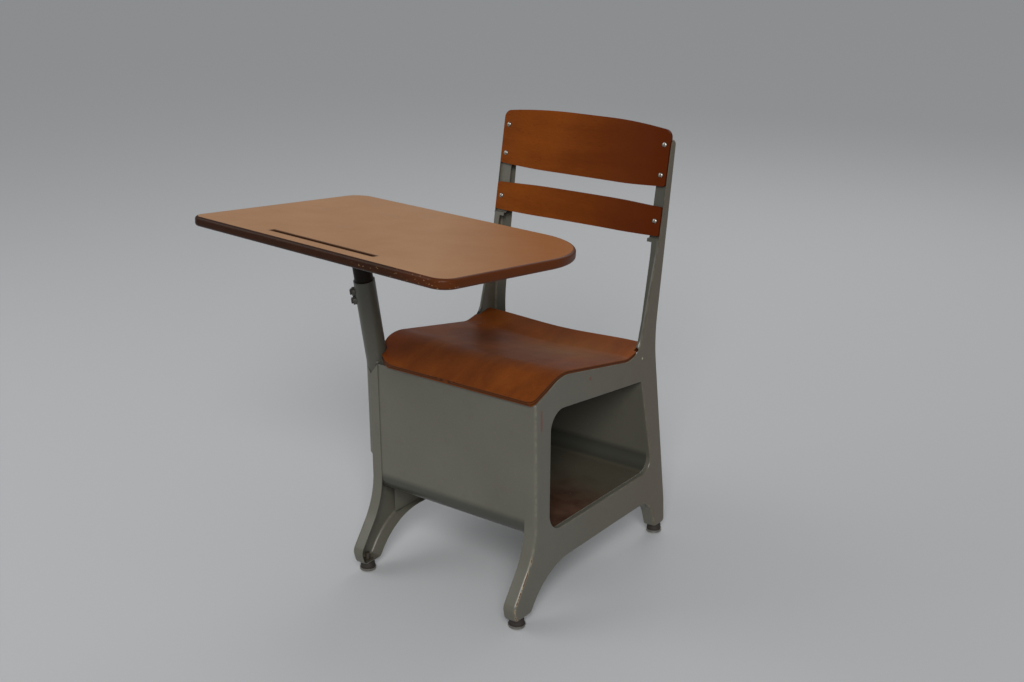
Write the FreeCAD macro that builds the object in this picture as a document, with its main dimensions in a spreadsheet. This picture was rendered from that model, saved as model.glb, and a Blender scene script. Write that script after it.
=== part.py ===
import FreeCAD, Part
import Sketcher
import math
import os

Vector = FreeCAD.Vector

# School desk: a chair on two pressed steel side frames, with a book box under the seat
# and a writing tablet on a post at the sitter's right hand.
# Frame of the part: origin on the floor midway between the four glides, +Z up,
# the sitter faces -Y, +X is the sitter's left. Millimetres and degrees.

doc = FreeCAD.newDocument("SchoolDesk")
sheet = doc.addObject("Spreadsheet::Sheet", "Sizes")

SIZES = (
    # Side frames: pans of sheet steel, the web outside and the flange turned inwards.
    ("frame_width", 373),
    ("frame_half_depth", 222.3),
    ("front_face", 186),
    ("foot_height", 18.5),
    ("box_floor_height", 148),
    ("seat_zone_height", 276),
    ("back_zone_height", 345),
    ("sheet_thickness", 1.5),
    ("flange_depth", 24.5),
    ("bend_radius", 6.5),
    ("opening_return", 8),
    ("opening_roll", 2.5),
    ("seat_sink", 6.8),
    ("seat_front_sink", 0.8),
    ("narrow_flange", 7.5),
    ("spot_gap", 0.3),
    ("cut_overrun", 5),
    # Book box: one folded sheet, with a liner on the post side.
    ("box_sheet", 1.2),
    ("box_bend_radius", 26),
    ("liner_inset", 13),
    ("liner_setback", 53),
    # Moulded seat.
    ("seat_thickness", 9.5),
    ("seat_side_gap", 1),
    ("seat_corner_radius", 30),
    ("seat_dish", 7),
    ("seat_tail", 27),
    ("seat_screw_diameter", 5),
    ("seat_screw_head", 11),
    ("seat_screw_length", 8),
    # Back slats, moulded to a shallow curve.
    ("slat_thickness", 7),
    ("slat_half_length", 183.5),
    ("slat_bow", 13),
    ("upper_slat_height", 99),
    ("slat_crown", 10),
    ("slat_sag", 5),
    ("slat_corner_radius", 15),
    ("slat_gap", 37),
    ("lower_slat_height", 52),
    ("slat_top_rise", 17),
    ("slat_recess_margin", 6),
    ("rivet_diameter", 5),
    ("rivet_head", 9.5),
    ("rivet_head_height", 2.4),
    ("rivet_inset", 11),
    ("rivet_top_drop", 9),
    ("rivet_spacing", 54),
    # Post and stem of the tablet.
    ("post_diameter", 38.1),
    ("post_wall", 2),
    ("post_inset", 7.5),
    ("post_foot_height", 214),
    ("post_bend_height", 376),
    ("post_bend_radius", 120),
    ("post_lean_angle", 9.3),
    ("post_length_above_bend", 176),
    ("post_notch_height", 24),
    ("stem_diameter", 33.4),
    ("stem_wall", 2.4),
    ("stem_insertion", 110),
    ("stem_reach", 118),
    ("socket_clearance", 0.06),
    ("clamp_screw_diameter", 8),
    ("clamp_screw_head", 11),
    ("clamp_screw_head_height", 6),
    ("clamp_boss_diameter", 16),
    ("clamp_boss_height", 5),
    ("clamp_drop", 20),
    ("clamp_spacing", 17),
    ("clamp_direction_angle", 217),
    # Writing tablet.
    ("tablet_length", 582),
    ("tablet_depth", 364),
    ("tablet_thickness", 16),
    ("tablet_edge_radius", 5),
    ("tablet_slope_angle", 4.6),
    ("tablet_turn_angle", -5.7),
    ("tablet_post_end", 99),
    ("tablet_post_edge", 101.5),
    ("far_right_radius", 22),
    ("far_left_radius", 28),
    ("near_left_radius", 137),
    ("near_right_radius", 34),
    ("laminate_thickness", 1.2),
    ("laminate_border", 4.5),
    ("laminate_gap", 0.1),
    ("groove_length", 238),
    ("groove_width", 9),
    ("groove_depth", 4),
    ("groove_setback", 32),
    ("bracket_length", 150),
    ("bracket_width", 92),
    ("bracket_plate", 3),
    ("bracket_corner_radius", 14),
    ("bracket_socket_wall", 3.2),
    ("bracket_socket_length", 34),
    ("bracket_screw_diameter", 4.5),
    ("bracket_screw_head", 9),
    ("bracket_screw_length", 12),
    # Glides: a steel cup under a rubber cushion, on a stem in the foot.
    ("glide_diameter", 30),
    ("glide_cup_height", 7),
    ("glide_wall", 1.2),
    ("glide_stem_diameter", 8),
    ("glide_stem_length", 16),
    ("glide_inboard", 14.6),
    ("glide_play", 0.05),
    ("foot_plate", 3),
)
for row, (name, value) in enumerate(SIZES, start=1):
    sheet.set("A%d" % row, name)
    sheet.set("B%d" % row, str(value))
    sheet.setAlias("B%d" % row, name)
doc.recompute()


def size(name):
    return float(sheet.get(name))


def tangent(degrees):
    return math.tan(math.radians(degrees))


pieces = []
same_point = 0.000001


def keep(shape_object, label):
    shape_object.Label = label
    pieces.append(shape_object)
    return shape_object


# Outlines are lists of corners (x, y, corner radius), counter-clockwise.


def outline_edges(corners, closed=True):
    count = len(corners)
    joints = []
    for i, (x, y, radius) in enumerate(corners):
        here = Vector(x, y, 0)
        if radius <= 0 or (not closed and i in (0, count - 1)):
            joints.append((here, None, here))
            continue
        before = Vector(*corners[i - 1][:2], 0) - here
        after = Vector(*corners[(i + 1) % count][:2], 0) - here
        half = before.getAngle(after) / 2
        bisector = before.normalize() + after.normalize()
        reach = radius / math.tan(half)
        middle = here + bisector.normalize() * (radius / math.sin(half) - radius)
        joints.append((here + before * reach, middle, here + after * reach))
    edges = []
    for i, (start, middle, end) in enumerate(joints):
        if middle is not None:
            edges.append(Part.Arc(start, middle, end))
        if i + 1 < count or closed:
            following = joints[(i + 1) % count][0]
            if (following - end).Length > same_point:
                edges.append(Part.LineSegment(end, following))
    return edges


def inset(corners, distance):
    """The same outline moved inwards by a distance, outwards if it is negative."""
    moved = []
    count = len(corners)
    for i, (x, y, radius) in enumerate(corners):
        x0, y0 = corners[i - 1][:2]
        x1, y1 = corners[(i + 1) % count][:2]
        inward = Vector(x - x0, y - y0, 0).normalize()
        onward = Vector(x1 - x, y1 - y, 0).normalize()
        turn = inward.x * onward.y - inward.y * onward.x
        first = Vector(-inward.y, inward.x, 0)
        second = Vector(-onward.y, onward.x, 0)
        step = (first + second) * (distance / (1 + first.dot(second)))
        grown = radius - distance if turn > 0 else radius + distance
        moved.append((x + step.x, y + step.y, max(grown, 0) if radius > 0 else 0))
    return moved


def band(path, thickness):
    """A strip on the left of an open path of corners (x, y, radius)."""
    far = []
    count = len(path)
    for i, (x, y, radius) in enumerate(path):
        inward = Vector(x - path[i - 1][0], y - path[i - 1][1], 0) if i > 0 else None
        onward = Vector(path[i + 1][0] - x, path[i + 1][1] - y, 0) if i + 1 < count else None
        inward = (inward or onward).normalize()
        onward = (onward or inward).normalize()
        turn = inward.x * onward.y - inward.y * onward.x
        first = Vector(-inward.y, inward.x, 0)
        second = Vector(-onward.y, onward.x, 0)
        step = (first + second) * (thickness / (1 + first.dot(second)))
        grown = radius - thickness if turn > 0 else radius + thickness
        far.append((x + step.x, y + step.y, max(grown, 0) if radius > 0 else 0))
    return list(path) + far[::-1]


def new_body(name):
    return doc.addObject("PartDesign::Body", name)


def plane_of(body, role):
    return next(item for item in body.Origin.OriginFeatures if item.Role == role)


def new_sketch(body, name, role, offset=None):
    sketch = body.newObject("Sketcher::SketchObject", name)
    sketch.AttachmentSupport = [(plane_of(body, role), "")]
    sketch.MapMode = "FlatFace"
    if offset is not None:
        sketch.setExpression("AttachmentOffset.Base.z", offset)
    return sketch


def draw(sketch, *outlines):
    for corners in outlines:
        sketch.addGeometry(outline_edges(corners), False)


def draw_circle(sketch, x, y, diameter):
    """A circle whose diameter follows a cell of the sheet."""
    circle = Part.Circle(Vector(x, y, 0), Vector(0, 0, 1), size(diameter) / 2)
    index = sketch.addGeometry(circle, False)
    number = sketch.addConstraint(Sketcher.Constraint("Diameter", index, size(diameter)))
    sketch.setExpression("Constraints[%d]" % number, "Sizes." + diameter)


def pad(body, sketch, name, length, reverse=False, middle=False):
    feature = body.newObject("PartDesign::Pad", name)
    feature.Profile = sketch
    feature.setExpression("Length", length)
    feature.Reversed = reverse
    feature.Midplane = middle
    return feature


def pocket(body, sketch, name, length, reverse=False, middle=False):
    feature = body.newObject("PartDesign::Pocket", name)
    feature.Profile = sketch
    feature.setExpression("Length", length)
    feature.Reversed = reverse
    feature.Midplane = middle
    return feature


def bored(body, name, diameter, length, placement, clearance=0.0, add=False):
    """A round hole, or a round boss, along the z axis of its placement."""
    kind = "PartDesign::AdditiveCylinder" if add else "PartDesign::SubtractiveCylinder"
    feature = body.newObject(kind, name)
    feature.Radius = size(diameter) / 2 + clearance
    feature.Height = length
    feature.Placement = placement
    return feature


def rounded(body, base, edges, name, radius):
    feature = body.newObject("PartDesign::Fillet", name)
    feature.Base = (base, edges)
    feature.setExpression("Radius", radius)
    return feature


def edges_where(feature, test):
    return ["Edge%d" % (i + 1) for i, edge in enumerate(feature.Shape.Edges) if test(edge)]


def turned(x, y, z, axis=Vector(0, 0, 1), angle=0.0):
    return FreeCAD.Placement(Vector(x, y, z), FreeCAD.Rotation(axis, angle))


# Side profile. Heights are shares of three zones, depths are shares of the half depth.

half_width = size("frame_width") / 2
half_depth = size("frame_half_depth")
gap = size("spot_gap")
overrun = size("cut_overrun")
seat_level = size("box_floor_height") + size("seat_zone_height")
top_level = seat_level + size("back_zone_height")
front_y = -size("front_face")


def leg_level(share):
    return size("foot_height") + share * (size("box_floor_height") - size("foot_height"))


def box_level(share):
    return size("box_floor_height") + share * size("seat_zone_height")


def back_level(share):
    return seat_level + share * size("back_zone_height")


# The top line of the web, from its front edge to the foot of the upright.
seat_line = [
    (front_y, box_level(0.906), 0.042 * half_depth),
    (-0.504 * half_depth, box_level(1.025), 0.36 * half_depth),
    (0.427 * half_depth, box_level(0.886), 0.27 * half_depth),
    (0.585 * half_depth, box_level(0.914), 0.16 * half_depth),
]
# The line of the ledge on which the seat lies, a little lower.
seat_floor = [(y, z - size("seat_sink"), radius) for y, z, radius in seat_line]
seat_floor[0] = (front_y, seat_line[0][1] - size("seat_front_sink"), 0)
upright_front = [
    (0.815 * half_depth, back_level(0.420), 0.5 * half_depth),
    (0.994 * half_depth, top_level, 0.034 * half_depth),
]
frame_outline = [
    (-1.084 * half_depth, leg_level(0), 0.042 * half_depth),
    (-0.891 * half_depth, leg_level(0), 0.042 * half_depth),
    (-0.675 * half_depth, leg_level(0.506), 0.58 * half_depth),
    (0.819 * half_depth, leg_level(0.506), 0.225 * half_depth),
    (0.913 * half_depth, leg_level(0), 0.042 * half_depth),
    (1.075 * half_depth, leg_level(0), 0.042 * half_depth),
    (1.060 * half_depth, leg_level(0.413), 0.27 * half_depth),
    (0.837 * half_depth, box_level(0.949), 1.35 * half_depth),
    (1.085 * half_depth, top_level, 0.042 * half_depth),
    upright_front[1],
    upright_front[0],
    seat_line[3],
    seat_line[2],
    seat_line[1],
    seat_line[0],
    (front_y, leg_level(0.876), 0.67 * half_depth),
    (-1.118 * half_depth, leg_level(0.205), 0.090 * half_depth),
]


def opening_outline(front_share):
    """The book opening in the web of a side frame."""
    return [
        (front_share * half_depth, box_level(0), 0.16 * half_depth),
        (0.832 * half_depth, box_level(0), 0.11 * half_depth),
        (0.634 * half_depth, box_level(0.690), 0.036 * half_depth),
        ((front_share + 0.02) * half_depth, box_level(0.812), 0.15 * half_depth),
    ]


left_opening = opening_outline(-0.657)
right_opening = opening_outline(-0.615)


# Axes of the post and of the back.

lean = size("post_lean_angle")
post_x = size("post_inset") - half_width
post_y = front_y + size("sheet_thickness") + size("box_sheet") + gap / 2 + size("post_diameter") / 2
post_axis = Vector(0, -math.sin(math.radians(lean)), math.cos(math.radians(lean)))
post_bend = Vector(post_x, post_y, size("post_bend_height"))
post_rim = post_bend + post_axis * size("post_length_above_bend")
tablet_seat = post_rim + post_axis * size("stem_reach")
along_post = FreeCAD.Rotation(Vector(1, 0, 0), lean)

upright_rise = Vector(
    0,
    upright_front[1][0] - upright_front[0][0],
    upright_front[1][1] - upright_front[0][1],
)
back_lean = math.degrees(math.atan2(upright_rise.y, upright_rise.z))
back_top = Vector(0, upright_front[1][0], upright_front[1][1])
up_the_back = Vector(0, math.sin(math.radians(back_lean)), math.cos(math.radians(back_lean)))
back_turn = FreeCAD.Rotation(Vector(1, 0, 0), -back_lean)


def on_back(down, x=0.0):
    """A place on the front of the uprights, so far down from their tops."""
    base = back_top - up_the_back * down + Vector(x, 0, 0)
    return FreeCAD.Placement(base, back_turn)


upper_top = -size("slat_top_rise")
upper_bottom = upper_top + size("upper_slat_height")
lower_top = upper_bottom + size("slat_gap")
lower_bottom = lower_top + size("lower_slat_height")
recess_drop = lower_bottom + size("slat_recess_margin")
rivet_x = size("slat_half_length") - size("rivet_inset")
slat_sink = size("slat_thickness") + gap
upper_rivet_drops = [size("rivet_top_drop") + i * size("rivet_spacing") for i in (0, 1)]
lower_rivet_drops = [(lower_top + lower_bottom) / 2]
rivet_drops = upper_rivet_drops + lower_rivet_drops

glide_x = half_width - size("glide_inboard")
seat_screw_shares = (-0.30, 0.20)
liner_face = half_width - size("liner_inset") - size("box_sheet")
seat_screw_x = liner_face - size("seat_screw_head") / 2 - 2 * gap


def floor_height(y, drop=0.0):
    """Height of the straight stretches of the seat ledge."""
    for (y0, z0, _), (y1, z1, _) in zip(seat_floor, seat_floor[1:]):
        if y <= y1:
            return z0 + (z1 - z0) * (y - y0) / (y1 - y0) - drop
    return z1 - drop


def seat_screw_place(side, share):
    """Under the seat ledge, with z square to the ledge and pointing up."""
    y = share * half_depth
    slope = (floor_height(y + gap) - floor_height(y - gap)) / (2 * gap)
    square = FreeCAD.Rotation(Vector(1, 0, 0), math.degrees(math.atan(slope)))
    drop = size("sheet_thickness") * math.sqrt(1 + slope ** 2)
    return FreeCAD.Placement(Vector(side * seat_screw_x, y, floor_height(y, drop)), square)


def below(placement, distance):
    """The same placement moved back along its own z axis."""
    moved = placement.copy()
    moved.Base = placement.multVec(Vector(0, 0, -distance))
    return moved


# Side frames.


def side_frame(label, side, opening):
    """One pressed pan: outline, rounded edge, hollow, book opening and seat ledge."""
    body = new_body(label)
    face = "%d * Sizes.frame_width / 2" % side
    inward = side > 0

    outline = new_sketch(body, label + "_outline", "YZ_Plane", face)
    draw(outline, frame_outline)
    blank = pad(body, outline, label + "_blank", "Sizes.flange_depth", inward)
    doc.recompute()
    at_web = edges_where(
        blank, lambda edge: all(abs(v.X - side * half_width) < gap for v in edge.Vertexes)
    )
    edge_round = rounded(body, blank, at_web, label + "_edge", "Sizes.bend_radius")
    doc.recompute()
    mouth_x = side * (half_width - size("flange_depth"))
    mouth = next(
        "Face%d" % (i + 1)
        for i, item in enumerate(edge_round.Shape.Faces)
        if abs(item.CenterOfMass.x - mouth_x) < gap and item.BoundBox.XLength < gap
    )
    hollow = body.newObject("PartDesign::Thickness", label + "_hollow")
    hollow.Base = (edge_round, [mouth])
    hollow.setExpression("Value", "Sizes.sheet_thickness")
    hollow.Reversed = True
    hollow.Mode = 0
    hollow.Join = 0
    doc.recompute()

    # The flange is cut back under the seat and replaced by a lower ledge.
    inner_face = "%d * (Sizes.frame_width / 2 - Sizes.sheet_thickness)" % side
    recess = new_sketch(body, label + "_recess", "YZ_Plane", inner_face)
    tail_y, tail_z, _ = seat_floor[3]
    draw(recess, [
        (front_y - overrun, seat_floor[0][1], 0),
        seat_floor[0],
        seat_floor[1],
        seat_floor[2],
        (tail_y, tail_z, 0),
        (tail_y, seat_level + overrun, 0),
        (front_y - overrun, seat_level + overrun, 0),
    ])
    pocket(body, recess, label + "_seat_recess", "Sizes.flange_depth", not inward)
    ledge = new_sketch(body, label + "_ledge", "YZ_Plane", inner_face)
    start_y = front_y + size("sheet_thickness")
    draw(ledge, band([
        (tail_y, tail_z, 0),
        seat_floor[2],
        seat_floor[1],
        (start_y, floor_height(start_y), 0),
    ], size("sheet_thickness"))[::-1])
    pad(body, ledge, label + "_seat_ledge",
        "Sizes.flange_depth - Sizes.sheet_thickness", inward)

    # The upright's flange is set back in the same way behind the two slats.
    back_recess = new_sketch(body, label + "_back_recess", "YZ_Plane", inner_face)
    low = on_back(recess_drop).Base
    high = on_back(-overrun).Base
    step = back_turn.multVec(Vector(0, slat_sink, 0))
    ahead = back_turn.multVec(Vector(0, -overrun, 0))
    draw(back_recess, [
        ((low + ahead).y, low.z, 0),
        (low.y + slat_sink, low.z, 0),
        ((high + step).y, (high + step).z, 0),
        ((high + ahead).y, (high + ahead).z, 0),
    ])
    pocket(body, back_recess, label + "_slat_recess", "Sizes.flange_depth", not inward)
    back_ledge = new_sketch(body, label + "_back_ledge", "YZ_Plane", inner_face)
    top = on_back(size("sheet_thickness")).Base
    draw(back_ledge, band([
        ((top + step).y, (top + step).z, 0),
        (low.y + slat_sink, low.z, size("sheet_thickness")),
        (low.y + gap, low.z, 0),
    ], size("sheet_thickness")))
    pad(body, back_ledge, label + "_slat_ledge",
        "Sizes.flange_depth - Sizes.sheet_thickness", inward)

    # Between seat and slats the front flange narrows.
    behind = low.y + size("sheet_thickness") / 2
    narrow = new_sketch(body, label + "_narrow_plan", "XZ_Plane", "-%s" % behind)
    deep_x = half_width - 2 * size("flange_depth")
    narrow_x = half_width - size("narrow_flange")
    wide_x = half_width - 2 * size("narrow_flange")
    narrow_z = seat_level + size("seat_tail")
    draw(narrow, [
        (side * deep_x, seat_line[2][1], 0),
        (side * narrow_x, seat_line[2][1], 0),
        (side * narrow_x, narrow_z, 0),
        (side * wide_x, low.z - 4 * size("sheet_thickness"), 0),
        (side * deep_x, low.z - 4 * size("sheet_thickness"), 0),
    ])
    pocket(body, narrow, label + "_narrowing", "%s" % (behind - tail_y), True)

    # The book opening has a short return round it and a rolled edge.
    collar = new_sketch(body, label + "_collar", "YZ_Plane", inner_face)
    draw(collar, inset(opening, -size("sheet_thickness")))
    pad(body, collar, label + "_collar_blank", "Sizes.opening_return", inward)
    window = new_sketch(body, label + "_window", "YZ_Plane", face)
    draw(window, opening)
    cut = pocket(body, window, label + "_opening",
                 "Sizes.opening_return + 2 * Sizes.sheet_thickness", not inward)
    doc.recompute()
    middle_y = sum(y for y, _, _ in opening) / len(opening)
    middle_z = sum(z for _, z, _ in opening) / len(opening)
    reach = max(math.hypot(y - middle_y, z - middle_z) for y, z, _ in opening)
    lip = edges_where(cut, lambda edge: all(
        abs(v.X - side * half_width) < gap
        and math.hypot(v.Y - middle_y, v.Z - middle_z) < reach for v in edge.Vertexes))
    rounded(body, cut, lip, label + "_opening_edge", "Sizes.opening_roll")
    doc.recompute()
    return body


def fastener_holes(body, label, side):
    """Holes for the slat rivets, the seat screws and the two glide stems."""
    depth = size("bend_radius")
    for i, drop in enumerate(rivet_drops, start=1):
        place = on_back(drop, side * rivet_x)
        place.Base = place.multVec(Vector(0, slat_sink - gap, 0))
        place.Rotation = place.Rotation * FreeCAD.Rotation(Vector(1, 0, 0), -90)
        bored(body, "%s_rivet_hole_%d" % (label, i), "rivet_diameter",
              2 * size("sheet_thickness"), place, gap / 2)
    for i, share in enumerate(seat_screw_shares, start=1):
        place = below(seat_screw_place(side, share), gap)
        bored(body, "%s_seat_hole_%d" % (label, i), "seat_screw_diameter",
              2 * size("sheet_thickness"), place, gap / 2)
    for i, end in enumerate((-1, 1), start=1):
        place = turned(side * glide_x, end * half_depth, size("foot_height") - depth / 2)
        bored(body, "%s_stem_hole_%d" % (label, i), "glide_stem_diameter", depth, place, gap)


pocket_radius = size("post_diameter") / 2 + gap
bend_allowance = size("post_diameter") * tangent(lean)
post_exit = below(FreeCAD.Placement(post_bend, along_post), bend_allowance)


def post_notch(body, label):
    """A notch in the front, a V that opens upwards to the width of the post."""
    notch = new_sketch(body, label + "_notch_plan", "XZ_Plane", "-%s" % (post_y - pocket_radius))
    top = seat_floor[0][1] + gap
    tip = top - size("post_notch_height")
    draw(notch, [
        (post_x, tip, 2 * gap),
        (post_x + pocket_radius, top, 0),
        (post_x + pocket_radius, seat_level, 0),
        (-2 * half_width, seat_level, 0),
        (-2 * half_width, top, 0),
        (post_x - pocket_radius, top, 0),
    ])
    pocket(body, notch, label + "_notch", "Sizes.flange_depth", True)


def post_swelling(body, label):
    """The web swells outwards round the foot of the post; the post leaves at the top front."""
    outside = pocket_radius + size("sheet_thickness")
    web_x = -half_width + size("sheet_thickness")
    away = post_x - web_x
    reach = math.sqrt(outside ** 2 - away ** 2)
    bottom = "Sizes.post_foot_height - Sizes.sheet_thickness - Sizes.spot_gap"
    swelling = new_sketch(body, label + "_swelling", "XY_Plane", bottom)
    first = Vector(web_x, post_y - reach, 0)
    last = Vector(web_x, post_y + reach, 0)
    crest = Vector(post_x - outside, post_y, 0)
    swelling.addGeometry([Part.LineSegment(first, last), Part.Arc(last, crest, first)], False)
    top = floor_height(post_y)
    raised = pad(body, swelling, label + "_swelling_blank", "%s - (%s)" % (top, bottom))
    doc.recompute()
    low = size("post_foot_height") - size("sheet_thickness") - gap
    at_foot = edges_where(
        raised,
        lambda edge: abs(edge.BoundBox.ZMax - low) < gap
        and edge.BoundBox.XMin < -half_width - size("sheet_thickness")
    )
    rounded(body, raised, at_foot, label + "_swelling_foot", "Sizes.bend_radius")
    cavity = turned(post_x, post_y, size("post_foot_height") - gap)
    bored(body, label + "_post_cavity", "post_diameter",
          size("post_bend_height") - size("post_foot_height") + bend_allowance, cavity, gap)
    bored(body, label + "_post_exit", "post_diameter",
          size("post_length_above_bend"), post_exit, gap)
    post_notch(body, label)


left_frame = side_frame("left_side_frame", 1, left_opening)
fastener_holes(left_frame, "left_side_frame", 1)
keep(left_frame, "left_side_frame")

right_frame = side_frame("right_side_frame", -1, right_opening)
post_swelling(right_frame, "right_side_frame")
fastener_holes(right_frame, "right_side_frame", -1)
keep(right_frame, "right_side_frame")


# Book box: one sheet folded into a front, a floor and a back.

panel_face = front_y + size("sheet_thickness")
box_top = floor_height(panel_face, 2 * size("sheet_thickness"))
back_foot = (left_opening[1][0] + size("sheet_thickness") + gap, box_level(0))
back_head = (left_opening[2][0] + size("sheet_thickness") + gap, box_level(0.690))
back_slope = (back_head[0] - back_foot[0]) / (back_head[1] - back_foot[1])
back_top_z = floor_height(back_head[0], size("seat_dish") + size("sheet_thickness"))
back_top_y = back_foot[0] + back_slope * (back_top_z - back_foot[1])
box_path = [
    (panel_face, box_top, 0),
    (panel_face, box_level(0), size("box_bend_radius")),
    (back_foot[0], back_foot[1], size("box_bend_radius")),
    (back_top_y, back_top_z, 0),
]

box = new_body("book_box")
box_profile = new_sketch(box, "box_profile", "YZ_Plane", "-%s" % liner_face)
draw(box_profile, band(box_path, size("box_sheet")))
pad(box, box_profile, "box_sheet_folded",
    "%s + Sizes.frame_width / 2 - Sizes.sheet_thickness"
    " - Sizes.opening_return - Sizes.spot_gap" % liner_face)
lap = new_sketch(box, "panel_lap_plan", "XY_Plane",
                 "Sizes.box_floor_height + Sizes.box_bend_radius")
lap_x = half_width - size("bend_radius")
draw(lap, [
    (-lap_x, panel_face, 0),
    (lap_x, panel_face, 0),
    (lap_x, panel_face + size("box_sheet"), 0),
    (-lap_x, panel_face + size("box_sheet"), 0),
])
pad(box, lap, "panel_lap", "%s - Sizes.box_floor_height - Sizes.box_bend_radius" % box_top)
corner_x = half_width - size("flange_depth") - gap
corner_z = seat_line[0][1] - seat_line[0][2]
clipped = new_sketch(box, "panel_corner_plan", "XZ_Plane",
                     "-%s" % (panel_face + size("flange_depth")))
for side in (-1, 1):
    near_x, far_x = sorted((side * corner_x, side * half_width))
    draw(clipped, [
        (near_x, corner_z, 0), (far_x, corner_z, 0), (far_x, seat_level, 0), (near_x, seat_level, 0),
    ])
pocket(box, clipped, "panel_corners_clipped", "2 * Sizes.flange_depth", True)
bored(box, "box_post_exit", "post_diameter", size("post_length_above_bend"), post_exit, gap)
post_notch(box, "box")
keep(box, "book_box")

# Liner: it closes the box on the post side, between the arch and the seat.

liner_front = panel_face + size("liner_setback")
liner_foot = frame_outline[2][1] + size("sheet_thickness") + gap
liner_roof = 3 * size("sheet_thickness")
liner = new_body("right_box_liner")
liner_outline = new_sketch(liner, "liner_outline", "YZ_Plane",
                           "-(Sizes.frame_width / 2 - Sizes.liner_inset)")
draw(liner_outline, [
    (liner_front, liner_foot, 0),
    (back_foot[0] - size("liner_inset"), liner_foot, 0),
    (back_foot[0] + 2 * size("box_sheet"), box_level(0), 0),
    (back_head[0] + 2 * size("box_sheet"), back_head[1], 0),
    (seat_floor[3][0], seat_floor[2][1] - liner_roof, 0),
    (seat_floor[2][0], seat_floor[2][1] - liner_roof, seat_floor[2][2]),
    (seat_floor[1][0], seat_floor[1][1] - liner_roof, seat_floor[1][2] / 2),
    (liner_front, floor_height(liner_front, liner_roof), 0),
])
pad(liner, liner_outline, "liner_sheet", "Sizes.box_sheet")
keep(liner, "right_box_liner")

# Seat: moulded plywood, rolled down at the front and dished across.

seat_half = half_width - size("sheet_thickness") - size("seat_side_gap")
seat_overhang = size("seat_thickness") / 2
front_slope = (seat_floor[1][1] - seat_floor[0][1]) / (seat_floor[1][0] - seat_floor[0][0])
tail_slope = (seat_floor[3][1] - seat_floor[2][1]) / (seat_floor[3][0] - seat_floor[2][0])
seat_tail_y = seat_floor[3][0] + size("seat_tail")
seat_path = [
    (front_y - seat_overhang, seat_floor[0][1] - front_slope * seat_overhang + gap, 0),
    (seat_floor[1][0], seat_floor[1][1] + gap, seat_floor[1][2]),
    (seat_floor[2][0], seat_floor[2][1] + gap, seat_floor[2][2]),
    (seat_tail_y, seat_floor[3][1] + tail_slope * size("seat_tail") + gap, 0),
]
dish_shares = (0, 0.35, 1, 0.8)

seat = new_body("seat_panel")
seat_sections = []
flat_share = 0.86
for number, share in enumerate((-1, -flat_share, -0.5, 0, 0.5, flat_share, 1)):
    dish = size("seat_dish") * max(1 - (share / flat_share) ** 2, 0) ** 2
    section = new_sketch(seat, "seat_section_%d" % number, "YZ_Plane",
                         "%s * (Sizes.frame_width / 2 - Sizes.sheet_thickness"
                         " - Sizes.seat_side_gap)" % share)
    path = [(y, z - dish * deep, r) for (y, z, r), deep in zip(seat_path, dish_shares)]
    draw(section, band(path, size("seat_thickness")))
    seat_sections.append(section)
moulding = seat.newObject("PartDesign::AdditiveLoft", "seat_moulding")
moulding.Profile = seat_sections[0]
moulding.Sections = seat_sections[1:]
moulding.Ruled = False
doc.recompute()
post_corner = 2.5 * size("seat_corner_radius")
seat_front_y = front_y - size("seat_thickness")
neck_x = half_width - size("flange_depth") - size("seat_side_gap")
shoulder_y = seat_line[3][0] - size("bend_radius")
trim_edge = 2 * half_width
seat_plan = [
    (-seat_half, seat_front_y + size("seat_side_gap"), post_corner),
    (seat_half, seat_front_y + size("seat_side_gap"), size("seat_corner_radius") / 2),
    (seat_half, shoulder_y, size("seat_side_gap")),
    (neck_x, shoulder_y + size("seat_side_gap"), 0),
    (neck_x, seat_tail_y - size("seat_side_gap"), size("bend_radius")),
    (-neck_x, seat_tail_y - size("seat_side_gap"), size("bend_radius")),
    (-neck_x, shoulder_y + size("seat_side_gap"), 0),
    (-seat_half, shoulder_y, size("seat_side_gap")),
]
seat_trim = new_sketch(seat, "seat_trim", "XY_Plane", "%s" % (seat_level + 2 * overrun))
draw(seat_trim, seat_plan, [
    (-trim_edge, -trim_edge, 0), (trim_edge, -trim_edge, 0),
    (trim_edge, trim_edge, 0), (-trim_edge, trim_edge, 0),
])
pocket(seat, seat_trim, "seat_cut_to_plan", "Sizes.seat_zone_height")
bored(seat, "seat_post_clearance", "post_diameter", size("post_length_above_bend"),
      post_exit, size("seat_side_gap") + gap)
for side in (-1, 1):
    for i, share in enumerate(seat_screw_shares, start=1):
        bored(seat, "seat_pilot_%d_%d" % (side + 1, i), "seat_screw_diameter",
              size("seat_screw_length") + gap, seat_screw_place(side, share), gap / 2)
keep(seat, "seat_panel")


# Back slats: moulded strips whose ends lie flat on the uprights.

slat_half = size("slat_half_length")
slat_back = size("slat_thickness")
slat_curve = [
    (slat_half, slat_back, 0),
    (0.83 * slat_half, slat_back, 0.66 * slat_half),
    (0.33 * slat_half, slat_back + size("slat_bow"), 1.6 * slat_half),
    (-0.33 * slat_half, slat_back + size("slat_bow"), 1.6 * slat_half),
    (-0.83 * slat_half, slat_back, 0.66 * slat_half),
    (-slat_half, slat_back, 0),
]


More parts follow.
